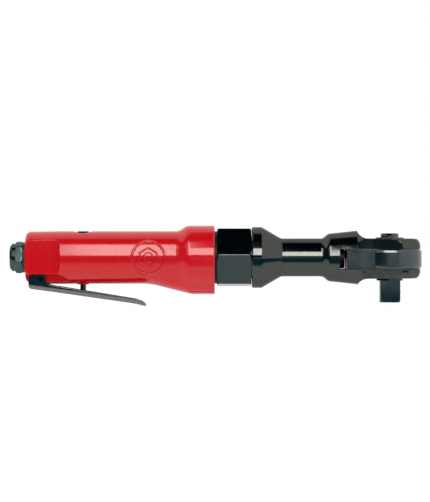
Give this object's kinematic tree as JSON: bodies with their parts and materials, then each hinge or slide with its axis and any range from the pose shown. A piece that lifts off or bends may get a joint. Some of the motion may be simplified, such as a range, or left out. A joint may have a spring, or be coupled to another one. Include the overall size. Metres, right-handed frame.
{
  "type": "air ratchet",
  "caption": "Straight pneumatic ratchet wrench: red motor housing with squeeze lever, hex clamp nut, necked head with forked end, square drive and reverse knob.",
  "frame": {"origin": "centre of the air inlet's mouth, on the tool's axis", "axes": "+X along the tool's axis from the air inlet to the ratchet head, +Z towards the reverse knob, square drive and lever towards -Z"},
  "size_m": [0.2605, 0.0406, 0.0509],
  "materials": {
    "red_enamel": "glossy red enamel",
    "black_oxide": "polished black oxide steel",
    "black_lever": "black semi-gloss paint",
    "black_phosphate": "matt black phosphate coat",
    "plated_steel": "dull zinc plated steel",
    "satin_steel": "satin ground steel",
    "bright_steel": "bright ground steel",
    "spring_steel": "oil tempered spring wire",
    "cast_aluminium": "machined aluminium",
    "bronze": "oiled sintered bronze",
    "brass_mesh": "drawn brass strainer",
    "black_rubber": "moulded nitrile rubber",
    "blade_laminate": "phenolic fabric laminate",
    "felt": "pressed felt"
  },
  "bodies": {
    "housing": {"motor_housing": "red_enamel", "inlet_bushing": "plated_steel", "inlet_seal": "black_rubber", "inlet_screen": "brass_mesh", "valve_seat": "bronze", "stem_bushing": "bronze", "valve_cap": "plated_steel", "valve_cap_seal": "black_rubber", "throttle_spring": "spring_steel", "lever_pin": "black_oxide", "rear_end_plate": "cast_aluminium", "rear_bearing_outer_race": "bright_steel", "cylinder_liner": "satin_steel", "cylinder_dowel": "bright_steel", "front_end_plate": "cast_aluminium", "front_bearing_outer_race": "bright_steel", "exhaust_muffler": "felt", "gear_case": "black_phosphate", "crank_thrust_washer": "bronze", "crank_bushings": "bronze", "clamp_nut": "black_oxide", "nut_retaining_ring": "spring_steel", "ratchet_head": "black_oxide", "drive_thrust_washer": "bronze", "drive_retaining_ring": "spring_steel"},
    "lever": {"throttle_lever": "black_lever"},
    "valve": {"throttle_valve": "black_rubber", "valve_stem": "black_oxide"},
    "rear_balls": {"rear_bearing_balls": "bright_steel"},
    "front_balls": {"front_bearing_balls": "bright_steel"},
    "rotor": {"rotor": "satin_steel", "rotor_blades": "blade_laminate", "rear_bearing_inner_race": "bright_steel", "front_bearing_inner_race": "bright_steel"},
    "crank": {"crankshaft": "satin_steel", "planet_pins": "bright_steel"},
    "planet_1": {"planet_gear_1": "bright_steel"},
    "planet_2": {"planet_gear_2": "bright_steel"},
    "planet_3": {"planet_gear_3": "bright_steel"},
    "crank_roller": {"crank_roller": "bright_steel"},
    "yoke": {"ratchet_yoke": "satin_steel"},
    "drive": {"drive_spindle": "black_oxide", "drive_top_washer": "satin_steel", "pawl_pin": "bright_steel", "socket_ball_spring": "spring_steel"},
    "pawl": {"drive_pawl": "bright_steel"},
    "knob": {"reverse_knob": "satin_steel", "pawl_plunger": "bright_steel", "pawl_spring": "spring_steel"},
    "socket_ball": {"socket_ball": "bright_steel"}
  },
  "joints": [
    {"name": "lever_press", "type": "hinge", "parent": "housing", "child": "lever", "pos_m": [0.0197, 0, -0.0136], "axis": [0, -1, 0], "range_deg": [0, 8], "stiffness_Nm_per_rad": 3, "springref_deg": -11.46},
    {"name": "valve_lift", "type": "slide", "parent": "housing", "child": "valve", "axis": [0, 0, 1], "range_m": [0, 0.0038], "deforming": ["throttle_spring"]},
    {"name": "crank_spin", "type": "hinge", "parent": "housing", "child": "crank", "pos_m": [0.17, 0, 0], "axis": [1, 0, 0], "continuous": true},
    {"name": "rotor_spin", "type": "hinge", "parent": "housing", "child": "rotor", "pos_m": [0.095, 0, 0], "axis": [1, 0, 0], "continuous": true},
    {"name": "rear_balls_spin", "type": "hinge", "parent": "housing", "child": "rear_balls", "pos_m": [0.07225, 0, 0], "axis": [1, 0, 0], "continuous": true},
    {"name": "front_balls_spin", "type": "hinge", "parent": "housing", "child": "front_balls", "pos_m": [0.118, 0, 0], "axis": [1, 0, 0], "continuous": true},
    {"name": "planet_1_spin", "type": "hinge", "parent": "crank", "child": "planet_1", "pos_m": [0.1325, 0, 0.00837], "axis": [1, 0, 0], "continuous": true},
    {"name": "planet_2_spin", "type": "hinge", "parent": "crank", "child": "planet_2", "pos_m": [0.1325, -0.00725, -0.00419], "axis": [1, 0, 0], "continuous": true},
    {"name": "planet_3_spin", "type": "hinge", "parent": "crank", "child": "planet_3", "pos_m": [0.1325, 0.00725, -0.00419], "axis": [1, 0, 0], "continuous": true},
    {"name": "roller_spin", "type": "hinge", "parent": "crank", "child": "crank_roller", "pos_m": [0.2166, 0, 0.002], "axis": [1, 0, 0], "continuous": true},
    {"name": "yoke_swing", "type": "hinge", "parent": "housing", "child": "yoke", "pos_m": [0.2402, 0, 0], "axis": [0, 0, 1], "range_deg": [-4.84, 4.84]},
    {"name": "drive_spin", "type": "hinge", "parent": "housing", "child": "drive", "pos_m": [0.2402, 0, 0], "axis": [0, 0, 1], "continuous": true},
    {"name": "reverse_turn", "type": "hinge", "parent": "drive", "child": "knob", "pos_m": [0.2402, 0, 0], "axis": [0, 0, 1], "range_deg": [0, 60]},
    {"name": "pawl_rock", "type": "hinge", "parent": "drive", "child": "pawl", "pos_m": [0.247, 0, 0], "axis": [0, 0, 1], "range_deg": [-10, 0]},
    {"name": "socket_ball_press", "type": "slide", "parent": "drive", "child": "socket_ball", "axis": [-1, 0, 0], "range_m": [0, 0.0008], "stiffness_N_per_m": 400, "springref_m": -0.0005, "deforming": ["socket_ball_spring"]}
  ],
  "couplings": [
    {"joint": "valve_lift", "follows": "lever_press", "m_per_rad": 0.0264},
    {"joint": "rotor_spin", "follows": "crank_spin", "ratio": 4.5},
    {"joint": "rear_balls_spin", "follows": "crank_spin", "ratio": 1.7651},
    {"joint": "front_balls_spin", "follows": "crank_spin", "ratio": 1.7969},
    {"joint": "planet_1_spin", "follows": "crank_spin", "ratio": -2.8},
    {"joint": "planet_2_spin", "follows": "crank_spin", "ratio": -2.8},
    {"joint": "planet_3_spin", "follows": "crank_spin", "ratio": -2.8},
    {"joint": "pawl_rock", "follows": "reverse_turn", "ratio": -0.16667}
  ]
}
